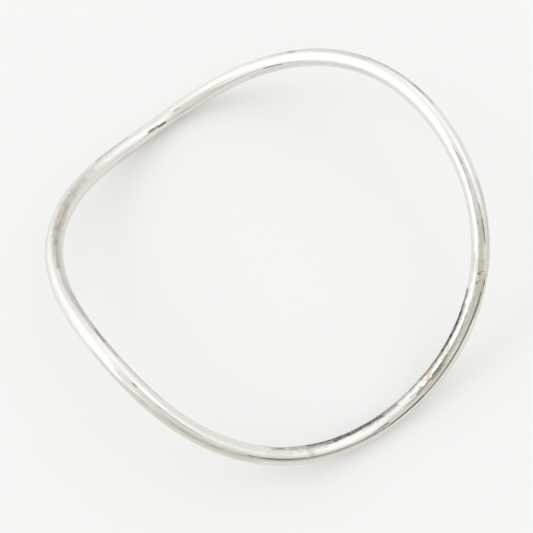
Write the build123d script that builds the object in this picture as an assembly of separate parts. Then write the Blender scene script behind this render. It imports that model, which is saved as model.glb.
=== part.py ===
from build123d import *
from collections import namedtuple
from math import cos, pi, radians, sin, sqrt
import os

# A wavy wire bangle: one round silver wire, soldered into a closed ring with no clasp and bent into
# a wave. It touches a table at two low bends, on the Y axis, and rises to a crest on each side of
# them, over the X axis. The bends are done by hand, so the two crests differ.

# Driving sizes, in millimetres
WIRE_DIAMETER = 2.8
RING_RADIUS = 32.0
WAVE_RISE = 7.4

# How the wire's centre line leaves a flat circle of RING_RADIUS. Each row is one ripple that goes
# round the ring a whole number of times. It pushes the wire outwards by a share of RING_RADIUS and
# lifts it by a share of WAVE_RISE, and each has its first peak at its own bearing, in degrees from
# the X axis towards the Y axis.
Ripple = namedtuple("Ripple", "turns push push_bearing lift lift_bearing")
FORM = [
    Ripple(1, 0.0000, 0, 0.261, -5.8),
    Ripple(2, 0.0080, -89, 1.000, 3),
    Ripple(3, 0.0120, 38, 0.074, -24),
    Ripple(4, 0.0245, -38, 0.090, 36),
    Ripple(5, 0.0085, 5, 0.062, -27),
    Ripple(6, 0.0033, 18, 0.000, 0),
]

# The centre line is pairs of tangent arcs between this many places, evenly spaced round the ring
STATIONS = 24


def centre(bearing):
    """The wire's centre line at a bearing in degrees."""
    out = RING_RADIUS
    lift = 0.0
    for ripple in FORM:
        out += RING_RADIUS * ripple.push * cos(radians(ripple.turns * (bearing - ripple.push_bearing)))
        lift += WAVE_RISE * ripple.lift * cos(radians(ripple.turns * (bearing - ripple.lift_bearing)))
    return Vector(out * cos(radians(bearing)), out * sin(radians(bearing)), lift)


def heading(bearing):
    """The direction in which the wire runs at a bearing."""
    step = 0.01
    return (centre(bearing + step) - centre(bearing - step)).normalized()


def arc_pair(start, start_heading, end, end_heading):
    """Two arcs that meet smoothly and leave and reach the ends along their headings."""
    chord = end - start
    turn = 2 * (1 - start_heading.dot(end_heading))
    along = chord.dot(start_heading + end_heading)
    arm = (sqrt(along**2 + turn * chord.dot(chord)) - along) / turn
    joint = (start + end + (start_heading - end_heading) * arm) / 2
    first = Edge.make_tangent_arc(start, start_heading, joint)
    return [first, Edge.make_tangent_arc(joint, first % 1, end)]


def centre_line():
    """The closed centre line as a list of arcs."""
    arcs = []
    for station in range(STATIONS):
        start = 360 * station / STATIONS
        end = 360 * (station + 1) / STATIONS
        arcs += arc_pair(centre(start), heading(start), centre(end), heading(end))
    return arcs


def wire_ring():
    """The solid wire: its skin is the round side of the wire along each arc."""
    skin = []
    for arc in centre_line():
        section = Plane(origin=arc @ 0, z_dir=arc % 0) * Circle(WIRE_DIAMETER / 2)
        piece = sweep(section, path=arc)
        skin += [face for face in piece.faces() if face.geom_type != GeomType.PLANE]
    return Solid(Shell(skin))


def set_down(ring):
    """Moves the ring so that it stands on z = 0 with the middle of its box over the origin."""
    box = ring.bounding_box()
    return ring.moved(Location((-box.center().X, -box.center().Y, -box.min.Z)))


bangle = set_down(wire_ring())
bangle.label = "bangle"

length = sum(arc.length for arc in centre_line())
section_area = pi * WIRE_DIAMETER**2 / 4
box = bangle.bounding_box()
print(f"wire length {length:.1f} mm, tightest arc {min(arc.radius for arc in centre_line()):.1f} mm")
print(f"volume {bangle.volume:.1f} mm3, section times length {section_area * length:.1f} mm3")
print(f"box {box.size.X:.1f} x {box.size.Y:.1f} x {box.size.Z:.1f} mm")

os.makedirs("parts", exist_ok=True)
export_step(bangle, "parts/bangle.step")
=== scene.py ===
from collections import namedtuple
from math import cos, pi, radians, sin

import bpy
import numpy as np
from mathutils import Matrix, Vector, noise


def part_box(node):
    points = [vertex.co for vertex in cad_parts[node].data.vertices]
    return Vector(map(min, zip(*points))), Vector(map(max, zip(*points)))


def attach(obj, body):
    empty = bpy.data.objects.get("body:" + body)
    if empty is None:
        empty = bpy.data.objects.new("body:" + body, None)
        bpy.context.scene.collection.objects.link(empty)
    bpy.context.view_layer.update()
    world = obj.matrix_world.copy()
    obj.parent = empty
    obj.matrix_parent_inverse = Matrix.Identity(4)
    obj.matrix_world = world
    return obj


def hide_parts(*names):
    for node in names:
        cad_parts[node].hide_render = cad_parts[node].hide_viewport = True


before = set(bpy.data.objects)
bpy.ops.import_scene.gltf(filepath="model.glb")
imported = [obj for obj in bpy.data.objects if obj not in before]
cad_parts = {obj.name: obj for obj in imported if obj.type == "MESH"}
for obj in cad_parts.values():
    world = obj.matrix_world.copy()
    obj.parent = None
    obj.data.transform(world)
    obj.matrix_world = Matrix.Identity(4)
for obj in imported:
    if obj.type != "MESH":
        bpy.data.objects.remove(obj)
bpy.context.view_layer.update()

# Lengths are in millimetres and angles in degrees. MM turns a length into metres, which Blender works in.
MM = 0.001

# The wire's centre line, as the part is built. Each ripple goes round the ring a whole number of times. It
# pushes the wire outwards by a share of RING_RADIUS and lifts it by a share of WAVE_RISE, and each has its
# first peak at its own bearing.
WIRE_DIAMETER = 2.8
RING_RADIUS = 32.0
WAVE_RISE = 7.4
Ripple = namedtuple("Ripple", "turns push push_bearing lift lift_bearing")
FORM = [
    Ripple(1, 0.0000, 0, 0.261, -5.8),
    Ripple(2, 0.0080, -89, 1.000, 3),
    Ripple(3, 0.0120, 38, 0.074, -24),
    Ripple(4, 0.0245, -38, 0.090, 36),
    Ripple(5, 0.0085, 5, 0.062, -27),
    Ripple(6, 0.0033, 18, 0.000, 0),
]

# The mesh of the wire: rows round the ring and corners round the wire. The rows crowd towards the seam,
# where the ends of the wire were soldered together and most of the marks are.
ROWS = 1040
CORNERS = 96
CROWDING = 0.6
SEAM_BEARING = -42.6

# Smooth noise on the wire: how far apart its swellings are, where it starts and how strong it is
Swell = namedtuple("Swell", "pitch seed strength")

# How far the wire's skin lies inside the solid: all over, where it is worn, in the groove and in the pits
INSET = 0.009
UNEVENNESS = Swell(11, 0, 0.006)
SOFT_DENTS = Swell(2.2, 7, 0.002)
WORN_INSET = 0.025
HAMMERING = Swell(0.8, 40, 0.050)
GROOVE_DEPTH = 0.02
PIT_DEPTH = 0.03

# The noise that makes the edges of marks ragged
WIDE_RAGS = Swell(0.9, 20, 1.0)
FINE_RAGS = Swell(0.35, 30, 0.5)

# Places on the skin have a bearing round the ring and an angle round the wire: 0 out, 90 up, 180 in. The
# higher crest is at bearing 0, the far low bend at 90, the lower crest at 180 and the near low bend at 270.
# Each mark is a stroke from one place to another. Its width is half its breadth, soft is how far its edge
# fades, and its depth goes up to 1.
Stroke = namedtuple("Stroke", "start start_round end end_round width soft depth")

# Black tarnish in fine lines, dashes and spots, and one long line that is a painted reflection of a dark
# strip low in the room
TARNISH_AND_REFLECTION = [
    # A faint line at the seam and a stronger one past it
    Stroke(-43, 118, -38.6, 132, 0.05, 0.16, 0.22),
    Stroke(-36, 71, -35.4, 72, 0.05, 0.12, 0.70),
    Stroke(-35.2, 74, -33.4, 76.5, 0.08, 0.12, 0.90),
    Stroke(-33.4, 76.5, -31.6, 79.5, 0.10, 0.12, 0.95),
    Stroke(-31.6, 79.5, -29.6, 82, 0.09, 0.12, 0.85),
    Stroke(-29.6, 82, -26, 86, 0.05, 0.12, 0.80),
    # Dashes before and after the higher crest
    Stroke(-17, 110, -15, 112, 0.03, 0.12, 0.50),
    Stroke(-15, 112, -11.2, 113, 0.05, 0.12, 0.90),
    Stroke(8.5, 59, 12.5, 49, 0.16, 0.30, 0.35),
    Stroke(46, 150, 52, 147, 0.03, 0.12, 0.50),
    Stroke(48.5, 74, 50.3, 66, 0.09, 0.24, 0.80),
    Stroke(52, 147, 57.5, 142, 0.06, 0.12, 1.00),
    # Dashes at the far low bend
    Stroke(85, 103, 87.6, 100, 0.06, 0.12, 0.90),
    Stroke(91.4, 129, 92.3, 128, 0.06, 0.12, 0.90),
    Stroke(92, 128, 94.8, 126, 0.14, 0.12, 1.00),
    Stroke(94.6, 114, 99, 113, 0.07, 0.12, 0.75),
    Stroke(94.6, 126, 101, 127, 0.03, 0.12, 0.60),
    Stroke(95, 122, 98.6, 122, 0.06, 0.12, 0.90),
    Stroke(96.6, 118, 98.4, 118, 0.08, 0.14, 1.00),
    # Spots at the lower crest
    Stroke(179.5, 138, 184.5, 133, 0.13, 0.30, 0.60),
    Stroke(198.2, 87, 199.3, 86, 0.11, 0.16, 0.70),
    # The long line on the outer side, over the near low bend and up to the seam: a painted reflection of a
    # dark strip low in the room
    Stroke(231, 61, 236, 59, 0.06, 0.12, 0.90),
    Stroke(236, 59, 240, 57, 0.08, 0.12, 1.00),
    Stroke(240, 57, 246, 56, 0.08, 0.12, 0.90),
    Stroke(246, 55, 250, 55, 0.06, 0.14, 0.70),
    Stroke(250, 55, 262, 55, 0.06, 0.12, 0.60),
    Stroke(262, 54, 267, 51, 0.09, 0.14, 0.70),
    Stroke(267, 51, 272, 48, 0.06, 0.14, 0.70),
    Stroke(272, 48, 277, 51, 0.09, 0.12, 1.00),
    Stroke(277, 51, 284, 52, 0.11, 0.12, 1.00),
    Stroke(284, 52, 288, 53, 0.08, 0.12, 1.00),
    Stroke(288, 53, 293, 56, 0.08, 0.12, 1.00),
    Stroke(293, 56, 303, 60, 0.09, 0.12, 1.00),
    Stroke(303, 60, 310, 60, 0.11, 0.14, 1.00),
    Stroke(310, 59, 312.8, 56, 0.12, 0.20, 0.80),
    Stroke(312.8, 54, 316, 51, 0.11, 0.30, 0.35),
    # Short dashes above that line, and one on the inner side
    Stroke(238.2, 133, 240.6, 130, 0.10, 0.20, 0.80),
    Stroke(264, 59, 266.5, 59, 0.04, 0.12, 0.60),
    Stroke(266.4, 62, 267.8, 64, 0.05, 0.12, 0.90),
    Stroke(268, 65, 271.5, 66, 0.08, 0.12, 1.00),
    Stroke(279, 79, 283, 84, 0.04, 0.14, 0.35),
    Stroke(283, 85, 289, 90, 0.06, 0.14, 0.60),
    Stroke(300, 99, 304, 100, 0.07, 0.20, 0.25),
]

# Small pits beside the seam
PITS = [
    Stroke(314.7, 52, 315.5, 48, 0.13, 0.16, 0.75),
    Stroke(314.7, 99, 315.2, 98, 0.10, 0.14, 0.75),
    Stroke(315.3, 86, 315.5, 86, 0.07, 0.12, 0.60),
    Stroke(317.1, 98, 317.2, 90, 0.15, 0.20, 0.80),
    Stroke(317.8, 66, 317.8, 103, 0.04, 0.14, 0.35),
    Stroke(319.9, 78, 320.1, 94, 0.06, 0.20, 0.25),
]

# The seam's shallow groove, all the way round the wire
GROOVE = [
    Stroke(SEAM_BEARING, 0, SEAM_BEARING, 179, 0.05, 0.16, 1.00),
    Stroke(SEAM_BEARING, 181, SEAM_BEARING, 359, 0.05, 0.16, 1.00),
]

# Dark grime on the inner side
GRIME = [
    # Patches with bright metal between them, up to the near low bend
    Stroke(237, 150, 243, 150, 0.55, 0.60, 0.05),
    Stroke(243, 150, 248, 150, 0.66, 0.40, 0.32),
    Stroke(248, 150, 252, 149, 0.60, 0.40, 0.75),
    Stroke(249.5, 143, 254, 142, 0.20, 0.30, 1.00),
    Stroke(252, 148, 256, 147, 0.66, 0.30, 0.60),
    Stroke(252.8, 118, 254.2, 116, 0.12, 0.16, 0.60),
    Stroke(254, 178, 271, 180, 0.50, 0.50, 0.60),
    Stroke(255, 128, 261, 131, 0.24, 0.25, 0.93),
    Stroke(255.3, 121, 257.5, 122, 0.16, 0.16, 0.86),
    Stroke(256, 150, 264, 152, 0.60, 0.30, 0.85),
    Stroke(260, 135, 268, 140, 0.32, 0.25, 0.92),
    Stroke(264, 155, 271, 158, 0.74, 0.30, 0.82),
    Stroke(266.5, 130, 268.5, 132, 0.27, 0.16, 0.95),
    Stroke(268.5, 134, 271.4, 132, 0.28, 0.20, 0.86),
    # Thinner grime past the bend
    Stroke(270, 155, 276, 157, 0.84, 0.40, 0.58),
    Stroke(276, 160, 280, 165, 0.66, 0.40, 0.40),
    Stroke(279, 167, 283, 168, 0.62, 0.50, 0.32),
    Stroke(281.8, 148, 284.8, 149, 0.22, 0.30, 0.60),
    # A dark stretch, almost up to the seam
    Stroke(283, 176, 288, 176, 0.62, 0.40, 0.92),
    Stroke(286, 184, 294, 184, 0.50, 0.40, 0.90),
    Stroke(287, 166, 292, 167, 0.72, 0.40, 0.66),
    Stroke(292, 184, 309, 184, 0.60, 0.30, 1.00),
    Stroke(293, 168, 299, 168, 0.80, 0.30, 0.88),
    Stroke(297, 165, 301.5, 166, 0.68, 0.25, 1.00),
    Stroke(301.5, 166, 306, 168, 0.68, 0.25, 1.00),
    Stroke(302, 153, 305.5, 154, 0.44, 0.25, 0.95),
    Stroke(305.5, 152, 309, 154, 0.50, 0.40, 0.46),
    Stroke(306, 168, 309.5, 170, 0.60, 0.40, 0.76),
    Stroke(309, 168, 312.2, 170, 0.56, 0.40, 0.56),
    # A thin line along the top of the wire there
    Stroke(289.4, 95, 293.6, 98, 0.16, 0.22, 0.85),
    Stroke(293.6, 99, 300, 102, 0.11, 0.22, 0.72),
]

# Thin brown film over broad stretches. Its broad bands are mostly painted reflections of the darker parts
# of the room, tinted brown
FILM_AND_REFLECTIONS = [
    # At the seam
    Stroke(-50, 48, -43, 51, 0.18, 0.30, 0.85),
    Stroke(-48, 88, -40, 90, 0.45, 0.30, 0.48),
    Stroke(-45, 133, -39, 137, 0.20, 0.25, 0.35),
    Stroke(-43.5, 128, -38, 140, 0.25, 0.20, 0.40),
    Stroke(-43, 41, -20, 42, 0.40, 0.70, 0.40),
    Stroke(-42.3, 62, -42.3, 98, 0.07, 0.15, 0.90),
    Stroke(-42, 66, -28, 70, 0.24, 0.30, 0.06),
    Stroke(-42, 104, -30, 109, 0.07, 0.14, 0.90),
    Stroke(-42, 116, -36, 120, 0.10, 0.25, 0.35),
    Stroke(-41, 92, -32, 95, 0.30, 0.34, 0.48),
    # Over the higher crest
    Stroke(-32, 95, -24, 99, 0.24, 0.50, 0.34),
    Stroke(-31, 113, -22, 119, 0.12, 0.30, 0.60),
    Stroke(-25, 98, -13, 103, 0.20, 0.50, 0.18),
    Stroke(-22, 119, -5, 123, 0.17, 0.40, 0.80),
    Stroke(-5, 123, 8, 122, 0.12, 0.40, 0.50),
    Stroke(5, 49, 30, 52, 0.34, 0.60, 0.62),
    Stroke(24, 168, 62, 165, 0.22, 0.50, 0.22),
    Stroke(28, 82, 61, 74, 0.16, 0.50, 0.25),
    Stroke(30, 58, 55, 60, 0.30, 0.60, 0.38),
    # At the far low bend
    Stroke(86, 168, 112, 165, 0.30, 0.50, 0.25),
    # A painted shadow along the outer edge, standing in for the contact shadow on the floor beside it
    Stroke(97, 25, 108, 27, 0.16, 0.40, 0.30),
    Stroke(105, 49, 118, 56, 0.28, 0.40, 0.62),
    Stroke(113, 88, 125, 96, 0.22, 0.60, 0.22),
    # The broad band past that bend: a painted reflection of a dark part of the room
    Stroke(117, 76, 124, 77, 0.36, 0.90, 0.24),
    Stroke(117, 97, 123, 99, 0.32, 0.90, 0.36),
    Stroke(121, 98, 127, 100, 0.38, 0.90, 0.58),
    Stroke(122, 77, 141, 81, 0.40, 0.90, 0.42),
    Stroke(125, 99, 131, 101, 0.42, 0.90, 0.78),
    Stroke(128, 40, 136, 42, 0.20, 0.50, 0.12),
    Stroke(129, 100, 136, 103, 0.46, 0.90, 0.94),
    Stroke(134, 103, 143, 105, 0.48, 0.90, 1.00),
    Stroke(138, 132, 154, 130, 0.28, 0.50, 0.40),
    Stroke(139, 80, 148, 83, 0.36, 0.90, 0.24),
    Stroke(141, 105, 149, 109, 0.47, 0.90, 1.00),
    Stroke(147, 108, 156, 115, 0.42, 0.80, 0.86),
    # Over the lower crest
    Stroke(150, 139, 165, 141, 0.30, 0.60, 0.32),
    Stroke(154, 118, 170, 129, 0.30, 0.60, 0.52),
    Stroke(165, 144, 187, 145, 0.38, 0.50, 0.60),
    Stroke(168, 130, 190, 138, 0.22, 0.35, 0.55),
    Stroke(185, 32, 234, 34, 0.35, 0.60, 0.35),
    Stroke(187, 149, 206, 154, 0.30, 0.50, 0.48),
    Stroke(196, 42, 204, 44, 0.28, 0.40, 0.55),
    Stroke(202, 50, 232, 50, 0.34, 0.40, 0.32),
    Stroke(206, 88, 219, 80, 0.07, 0.18, 0.50),
    # Down to the near low bend
    Stroke(228, 48, 246, 44, 0.26, 0.50, 0.28),
    Stroke(236, 90, 242, 85, 0.40, 0.60, 0.15),
    Stroke(236, 142, 246, 138, 0.30, 0.50, 0.25),
    Stroke(237, 120, 248, 119, 0.09, 0.20, 1.00),
    Stroke(244, 103, 252, 106, 0.32, 0.50, 0.20),
    Stroke(246, 46, 272, 47, 0.28, 0.50, 0.30),
    Stroke(247, 106, 247.8, 67, 0.45, 0.50, 0.42),
    Stroke(248, 117, 256, 114, 0.18, 0.25, 0.60),
    Stroke(256, 117, 277, 118, 0.10, 0.30, 0.30),
    # From that bend to the seam
    Stroke(270, 70, 284, 74, 0.20, 0.40, 0.15),
    Stroke(272, 48, 300, 49, 0.25, 0.60, 0.10),
    Stroke(278, 78, 282, 82, 0.12, 0.20, 0.45),
    Stroke(281, 77, 286, 84, 0.15, 0.20, 0.65),
    Stroke(281, 100, 285, 102, 0.14, 0.25, 0.75),
    Stroke(283, 90, 290, 96, 0.24, 0.22, 1.00),
    Stroke(285, 73, 294, 76, 0.22, 0.30, 0.34),
    Stroke(285, 103, 290, 109, 0.22, 0.25, 1.00),
    Stroke(288.5, 126, 293, 128, 0.12, 0.25, 0.60),
    Stroke(289, 90, 293.8, 93, 0.42, 0.22, 1.00),
    Stroke(292, 106, 310, 107, 0.14, 0.22, 1.00),
    Stroke(293, 94, 300, 96, 0.34, 0.30, 0.75),
    Stroke(295.8, 114, 298.6, 114, 0.26, 0.25, 0.60),
    Stroke(300, 76, 309, 78, 0.30, 0.30, 0.25),
    Stroke(300, 97, 305, 98, 0.28, 0.25, 0.70),
    Stroke(305, 92, 318, 88, 0.38, 0.30, 0.46),
    Stroke(307, 47, 317, 49, 0.14, 0.30, 0.80),
    Stroke(311, 66, 317, 62, 0.24, 0.30, 0.40),
]

# Where the skin is hammered and filed, and how ragged the edges of those places are
WORN = [
    Stroke(130, 95, 150, 100, 0.50, 0.80, 0.40),
    Stroke(243, 122, 318, 121, 0.78, 0.60, 1.00),
]
WORN_RAGGEDNESS = 0.5

# The coats that lie on the silver, partly painted reflections, each an attribute of the mesh, and how
# ragged their strokes' edges are
Coat = namedtuple("Coat", "name strokes raggedness")
COATS = [
    Coat("tarnish_and_reflection", TARNISH_AND_REFLECTION + PITS, 0.12),
    Coat("grime", GRIME, 0.35),
    Coat("film_and_reflections", FILM_AND_REFLECTIONS, 0.18),
]

# Colours of the metal and its coats, which also carry painted reflections, and the tints of reflections
# that glance off them
BRIGHT_SILVER = (0.815, 0.800, 0.768)
DULL_SILVER = (0.785, 0.765, 0.725)
OLIVE_FILM_AND_REFLECTION = (0.350, 0.322, 0.245)
BROWN_FILM_AND_REFLECTION = (0.365, 0.318, 0.255)
TARNISH_AND_REFLECTION_COLOUR = (0.095, 0.068, 0.045)
GRIME_COLOUR = (0.065, 0.055, 0.040)
SILVER_GLANCE = (0.940, 0.935, 0.920)
DARK_GLANCE = (0.120, 0.100, 0.075)

# Noise in the metal: how many swellings a millimetre holds along and across the wire, and how much finer
# detail they have
Grain = namedtuple("Grain", "along across detail")
SPECKS = Grain(3.2, 3.2, 4)
STREAKS = Grain(0.5, 2.2, 3)
HATCHING = Grain(1.8, 1.0, 3)
BLOTCHES = Grain(0.5, 0.5, 1)
RUBBING = Grain(0.8, 5.0, 4)
SCRATCHES = Grain(0.7, 7.0, 5)

# What a value is turned into: a ramp goes from least to most while the value goes from low to high.
# Tarnish, with the painted reflected line in its layer, and grime add to the roughness.
Ramp = namedtuple("Ramp", "low high least most")
DULLNESS = Ramp(0.35, 0.75, 0, 1)
FILM_AND_REFLECTION_HUE = Ramp(0.40, 0.60, 0, 1)
FILM_AND_REFLECTION_COVER = Ramp(0.30, 0.65, 0.80, 1)
GRIME_COVER = Ramp(0.35, 0.60, 0.66, 0.96)
ROUGHNESS = Ramp(0.30, 0.80, 0.10, 0.20)
DARK_ROUGHNESS = 0.3
SCRATCH_HEIGHT = 0.02
SCRATCH_STRENGTH = 0.25

# The pale floor, with a faint glow of its own that lifts the shadows
FLOOR_WIDTH = 3000
FLOOR_COLOUR = (0.655, 0.655, 0.646)
FLOOR_ROUGHNESS = 0.3
FLOOR_GLOW_COLOUR = (1.00, 1.00, 0.99)
FLOOR_GLOW = 0.20

# The photo's camera, aimed close to the floor at the ring's middle, and the depths between which it sees
CAMERA_TARGET = (-0.23, 0.26, -0.16)
CAMERA_BEARING = 237
CAMERA_ELEVATION = 68.6
CAMERA_DISTANCE = 199
CAMERA_LENS = 82.6
CAMERA_SENSOR = 36
CAMERA_NEAREST = 10
CAMERA_FURTHEST = 20000

# The light of the room, by the direction that it comes from. A glow is brightest there and has faded out at
# its reach, in degrees from it. The glows add up, and the last two are shades, which take light away.
Glow = namedtuple("Glow", "bearing elevation reach red green blue")
FILL = (0.90, 0.90, 0.90)
DARKEST = (0.02, 0.02, 0.02)
BACKDROP = (0.90, 0.90, 0.89)
GLOWS = [
    Glow(114, 50, 38, 0.25, 0.25, 0.25),
    Glow(137, 47, 13, 2.00, 2.00, 2.00),
    Glow(155, 38, 13, 1.50, 1.50, 1.50),
    Glow(171, 16, 32, 0.26, 0.26, 0.26),
    Glow(138, 2, 64, 0.29, 0.29, 0.29),
    Glow(337, 53, 30, 0.19, 0.19, 0.19),
    Glow(22, 59, 30, 0.26, 0.26, 0.26),
    Glow(59, 44, 24, 0.07, 0.07, 0.07),
    Glow(26, 28, 26, 0.09, 0.09, 0.09),
    Glow(294, 1, 22, 0.17, 0.17, 0.17),
    Glow(204, 35, 23, 0.25, 0.25, 0.25),
    Glow(80, 6, 22, 0.17, 0.17, 0.17),
    Glow(48, 36, 18, 0.17, 0.17, 0.17),
    Glow(264, 38, 34, 0.12, 0.12, 0.11),
    Glow(210, 22, 20, 0.07, 0.07, 0.07),
    Glow(215, 57, 28, 0.09, 0.09, 0.09),
    Glow(244, 30, 60, -0.18, -0.20, -0.23),
    Glow(284, 14, 23, -0.17, -0.19, -0.22),
]


def wave(turns, bearing):
    """A ripple that comes so many times round the ring, from -1 to 1, with a peak at bearing 0."""
    return np.cos(np.radians(turns * bearing))


def centre(bearing):
    """Points of the centre line at an array of bearings."""
    out = np.full_like(bearing, RING_RADIUS)
    lift = np.zeros_like(bearing)
    for ripple in FORM:
        out += RING_RADIUS * ripple.push * wave(ripple.turns, bearing - ripple.push_bearing)
        lift += WAVE_RISE * ripple.lift * wave(ripple.turns, bearing - ripple.lift_bearing)
    angle = np.radians(bearing)
    return np.stack([out * np.cos(angle), out * np.sin(angle), lift], axis=1)


def unit(vectors):
    """The vectors, each brought to a length of 1."""
    return vectors / np.linalg.norm(vectors, axis=1)[:, None]


def wire_frame(bearing):
    """Centre points, and the directions out of the ring and up, square to the wire."""
    step = 0.01
    heading = unit(centre(bearing + step) - centre(bearing - step))
    out = unit(np.cross(heading, (0, 0, 1)))
    up = np.cross(out, heading)
    return centre(bearing), out, up


def row_bearings():
    """The bearing of each row. The rows start at the seam and crowd towards it."""
    share = np.arange(ROWS) / ROWS
    return SEAM_BEARING + 360 * share - CROWDING * np.degrees(np.sin(2 * pi * share))


def clouds(skin, swell):
    """Smooth noise at every row and corner, about as often below zero as above it."""
    places = (Vector(place) / swell.pitch + Vector((swell.seed, 0, 0)) for place in skin.reshape(-1, 3))
    return swell.strength * np.array([noise.noise(place) for place in places]).reshape(ROWS, CORNERS)


def signed(degrees):
    """Degrees brought into the half turns on both sides of zero."""
    return (degrees + 180) % 360 - 180


def painted(strokes, bearing, turn, rags):
    """How deeply the strokes mark each row and corner, from 0 to 1. The rags shift the strokes' edges."""
    degree_along = 2 * pi * RING_RADIUS / 360
    degree_round = pi * WIRE_DIAMETER / 360
    paint = np.zeros((ROWS, CORNERS))
    for stroke in strokes:
        run_along = (stroke.end - stroke.start) * degree_along
        run_round = (stroke.end_round - stroke.start_round) * degree_round
        along = signed(bearing - stroke.start)[:, None] * degree_along
        around = signed(turn - stroke.start_round)[None, :] * degree_round
        share = np.clip((along * run_along + around * run_round) / (run_along**2 + run_round**2), 0, 1)
        distance = np.hypot(along - share * run_along, around - share * run_round)
        # Across the soft edge this goes from 0 to 1, and it is half at the stroke's width
        inside = np.clip((stroke.width - distance) / stroke.soft + 0.5 + rags, 0, 1)
        smooth = inside**2 * (3 - 2 * inside)
        paint = np.maximum(paint, stroke.depth * smooth)
    return paint


def skin_inset(skin, bearing, turn, rags):
    """How far the skin lies inside the solid at each row and corner. It never lies outside."""
    inset = INSET + clouds(skin, UNEVENNESS) + clouds(skin, SOFT_DENTS)
    inset += painted(WORN, bearing, turn, WORN_RAGGEDNESS * rags) * (WORN_INSET + clouds(skin, HAMMERING))
    inset += GROOVE_DEPTH * painted(GROOVE, bearing, turn, 0)
    inset += PIT_DEPTH * painted(PITS, bearing, turn, 0)
    return np.maximum(inset, 0)


def placed(points):
    """The points in metres, with the middle of their box at the middle of the solid's box."""
    low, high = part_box("bangle")
    shift = (np.array(low) + np.array(high)) / 2 / MM - (points.min(axis=0) + points.max(axis=0)) / 2
    return (points + shift) * MM


def tube_faces():
    """The quads of the tube, each as four point numbers."""
    row = np.arange(ROWS)[:, None] * CORNERS
    after = np.roll(row, -1, axis=0)
    corner = np.arange(CORNERS)[None, :]
    beside = np.roll(corner, -1, axis=1)
    quads = (row + corner, row + beside, after + beside, after + corner)
    return np.stack(quads, axis=-1).reshape(-1, 4)


def tube_space(middle, turn):
    """Millimetres along and across the wire at the corners of each quad, for textures that follow it."""
    steps = np.linalg.norm(np.roll(middle, -1, axis=0) - middle, axis=1)
    after = np.cumsum(steps)
    along = np.append(0, after[:-1])
    angle = np.radians(turn)
    beside = np.roll(angle, -1)
    space = np.empty((ROWS, CORNERS, 4, 3), np.float32)
    for place, (run, side) in enumerate(((along, angle), (along, beside), (after, beside), (after, angle))):
        space[:, :, place, 0] = run[:, None]
        space[:, :, place, 1] = np.cos(side)[None, :] * WIRE_DIAMETER / 2
        space[:, :, place, 2] = np.sin(side)[None, :] * WIRE_DIAMETER / 2
    return space


def make_wire():
    """The bangle's wire as one closed tube of quads, with its coats as attributes."""
    bearing = row_bearings()
    turn = np.arange(CORNERS) * 360 / CORNERS
    angle = np.radians(turn)[None, :, None]
    middle, out, up = wire_frame(bearing)
    side = np.cos(angle) * out[:, None, :] + np.sin(angle) * up[:, None, :]
    skin = middle[:, None, :] + side * WIRE_DIAMETER / 2
    rags = clouds(skin, WIDE_RAGS) + clouds(skin, FINE_RAGS)
    points = skin - side * skin_inset(skin, bearing, turn, rags)[:, :, None]
    faces = tube_faces()

    mesh = bpy.data.meshes.new("wire")
    mesh.from_pydata(placed(points.reshape(-1, 3)).tolist(), [], faces.tolist())
    mesh.polygons.foreach_set("use_smooth", [True] * len(faces))
    space = mesh.attributes.new("wire_space", "FLOAT_VECTOR", "CORNER")
    space.data.foreach_set("vector", tube_space(middle, turn).ravel())
    for coat in COATS:
        paint = painted(coat.strokes, bearing, turn, coat.raggedness * rags)
        layer = mesh.attributes.new(coat.name, "FLOAT", "POINT")
        layer.data.foreach_set("value", paint.astype(np.float32).ravel())
    mesh.update()
    wire = bpy.data.objects.new("wire", mesh)
    bpy.context.scene.collection.objects.link(wire)
    return wire


class Nodes:
    """The nodes of a material or of the world. Each input takes a value or another node's output."""

    def __init__(self, owner):
        owner.use_nodes = True
        self.nodes = owner.node_tree.nodes
        self.links = owner.node_tree.links

    def feed(self, node, inputs):
        """Sets or links a node's inputs, by name or number. A colour is given as red, green and blue."""
        for name, value in inputs.items():
            socket = node.inputs[name]
            if isinstance(value, bpy.types.NodeSocket):
                self.links.new(value, socket)
            elif socket.type == "RGBA":
                socket.default_value = (*value, 1)
            else:
                socket.default_value = value

    def add(self, kind, inputs, **settings):
        """A new node, with its settings made before its inputs."""
        node = self.nodes.new(kind)
        for name, setting in settings.items():
            setattr(node, name, setting)
        self.feed(node, inputs)
        return node

    def attribute(self, name, output):
        """One of the mesh's attributes."""
        return self.add("ShaderNodeAttribute", {}, attribute_name=name).outputs[output]

    def math(self, operation, first, second):
        """A calculation with two numbers."""
        return self.add("ShaderNodeMath", {0: first, 1: second}, operation=operation).outputs["Value"]

    def vector(self, operation, *values, output="Vector"):
        """A calculation with vectors."""
        inputs = dict(enumerate(values))
        return self.add("ShaderNodeVectorMath", inputs, operation=operation).outputs[output]

    def mix(self, share, first, second):
        """From the first colour to the second, as the share goes from 0 to 1."""
        inputs = {"Factor": share, "A": first, "B": second}
        return self.add("ShaderNodeMix", inputs, data_type="RGBA").outputs["Result"]

    def ramp(self, value, limits, interpolation="SMOOTHSTEP"):
        """The value, turned into what the limits of a ramp say."""
        names = ("From Min", "From Max", "To Min", "To Max")
        inputs = {"Value": value, **dict(zip(names, limits))}
        return self.add("ShaderNodeMapRange", inputs, interpolation_type=interpolation).outputs["Result"]

    def noise(self, space, grain):
        """Noise from 0 to 1 that follows the wire."""
        place = self.vector("MULTIPLY", space, (grain.along, grain.across, grain.across))
        inputs = {"Vector": place, "Scale": 1, "Detail": grain.detail}
        return self.add("ShaderNodeTexNoise", inputs).outputs["Fac"]


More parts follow.
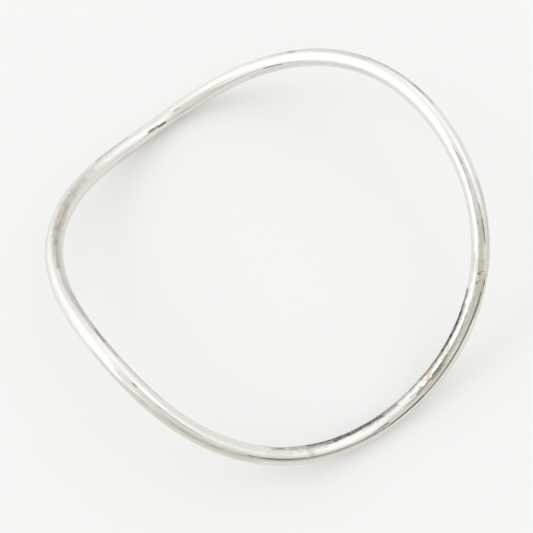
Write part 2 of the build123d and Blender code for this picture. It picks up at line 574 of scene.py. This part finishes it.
def silver():
    """Polished silver with fine wear, a brownish film in places, black tarnish in marks and hollows, and
    painted dark reflections in broad bands and one long line.
    """
    material = bpy.data.materials.new("silver")
    metal = Nodes(material)
    space = metal.attribute("wire_space", "Vector")
    specks = metal.noise(space, SPECKS)
    streaks = metal.noise(space, STREAKS)

    # The tarnish layer also holds a painted reflection: the long dark line on the outer side
    tarnish_and_reflection = metal.attribute("tarnish_and_reflection", "Fac")
    hatching = metal.ramp(metal.noise(space, HATCHING), GRIME_COVER)
    grime = metal.math("MULTIPLY", metal.attribute("grime", "Fac"), hatching)
    dark = metal.math("MAXIMUM", tarnish_and_reflection, grime)
    patchy = metal.math("MULTIPLY", metal.ramp(specks, FILM_AND_REFLECTION_COVER), metal.ramp(streaks, FILM_AND_REFLECTION_COVER))
    # The film layer is partly brown film and partly painted reflection of the darker parts of the room
    film_and_reflections = metal.math("MULTIPLY", metal.attribute("film_and_reflections", "Fac"), patchy)

    clean = metal.mix(metal.ramp(streaks, DULLNESS), BRIGHT_SILVER, DULL_SILVER)
    film_and_reflection_colour = metal.mix(metal.ramp(metal.noise(space, BLOTCHES), FILM_AND_REFLECTION_HUE), OLIVE_FILM_AND_REFLECTION, BROWN_FILM_AND_REFLECTION)
    with_film_and_reflections = metal.mix(film_and_reflections, clean, film_and_reflection_colour)
    marked = metal.mix(tarnish_and_reflection, with_film_and_reflections, TARNISH_AND_REFLECTION_COLOUR)

    rubbed = metal.ramp(metal.noise(space, RUBBING), ROUGHNESS)
    scratches = metal.add("ShaderNodeBump", {
        "Strength": SCRATCH_STRENGTH,
        "Distance": SCRATCH_HEIGHT * MM,
        "Height": metal.noise(space, SCRATCHES),
    })
    metal.feed(metal.nodes["Principled BSDF"], {
        "Metallic": 1,
        "Base Color": metal.mix(grime, marked, GRIME_COLOUR),
        "Specular Tint": metal.mix(dark, SILVER_GLANCE, DARK_GLANCE),
        "Roughness": metal.math("ADD", rubbed, metal.math("MULTIPLY", dark, DARK_ROUGHNESS)),
        "Normal": scratches.outputs["Normal"],
    })
    return material


def make_floor():
    """A plain pale floor, out to well beyond every view."""
    bpy.ops.mesh.primitive_plane_add(size=FLOOR_WIDTH * MM)
    floor = bpy.context.object
    floor.name = "floor"
    material = bpy.data.materials.new("floor")
    paint = Nodes(material)
    paint.feed(paint.nodes["Principled BSDF"], {
        "Base Color": FLOOR_COLOUR,
        "Roughness": FLOOR_ROUGHNESS,
        "Emission Color": FLOOR_GLOW_COLOUR,
        "Emission Strength": FLOOR_GLOW,
    })
    floor.data.materials.append(material)


def aim(bearing, elevation):
    """The unit vector towards a bearing and an elevation."""
    flat = cos(radians(elevation))
    return Vector((flat * cos(radians(bearing)), flat * sin(radians(bearing)), sin(radians(elevation))))


def make_camera():
    """The camera at the photo's angle."""
    data = bpy.data.cameras.new("camera")
    data.lens = CAMERA_LENS
    data.sensor_width = CAMERA_SENSOR
    data.clip_start = CAMERA_NEAREST * MM
    data.clip_end = CAMERA_FURTHEST * MM
    camera = bpy.data.objects.new("camera", data)
    target = Vector(CAMERA_TARGET) * MM
    towards = aim(CAMERA_BEARING, CAMERA_ELEVATION)
    camera.location = target + towards * CAMERA_DISTANCE * MM
    camera.rotation_euler = (-towards).to_track_quat("-Z", "Y").to_euler()
    bpy.context.scene.collection.objects.link(camera)
    bpy.context.scene.camera = camera


def make_light():
    """Soft room light: a fill from all round with glows and shades in it, behind a plain backdrop."""
    world = bpy.data.worlds.new("room")
    bpy.context.scene.world = world
    room = Nodes(world)
    direction = room.add("ShaderNodeTexCoord", {}).outputs["Generated"]
    light = FILL
    for glow in GLOWS:
        towards = aim(glow.bearing, glow.elevation)
        nearness = room.vector("DOT_PRODUCT", direction, towards, output="Value")
        spread = room.ramp(nearness, Ramp(cos(radians(glow.reach)), 1, 0, 1), "SMOOTHERSTEP")
        light = room.vector("MULTIPLY_ADD", spread, (glow.red, glow.green, glow.blue), light)
    light = room.vector("MAXIMUM", light, DARKEST)
    seen = room.add("ShaderNodeLightPath", {}).outputs["Is Camera Ray"]
    room.feed(room.nodes["Background"], {"Color": room.mix(seen, light, BACKDROP)})


wire = make_wire()
wire.data.materials.append(silver())
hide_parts("bangle")
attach(wire, "root")
make_floor()
make_light()
make_camera()

bpy.context.scene.view_settings.view_transform = "Standard"
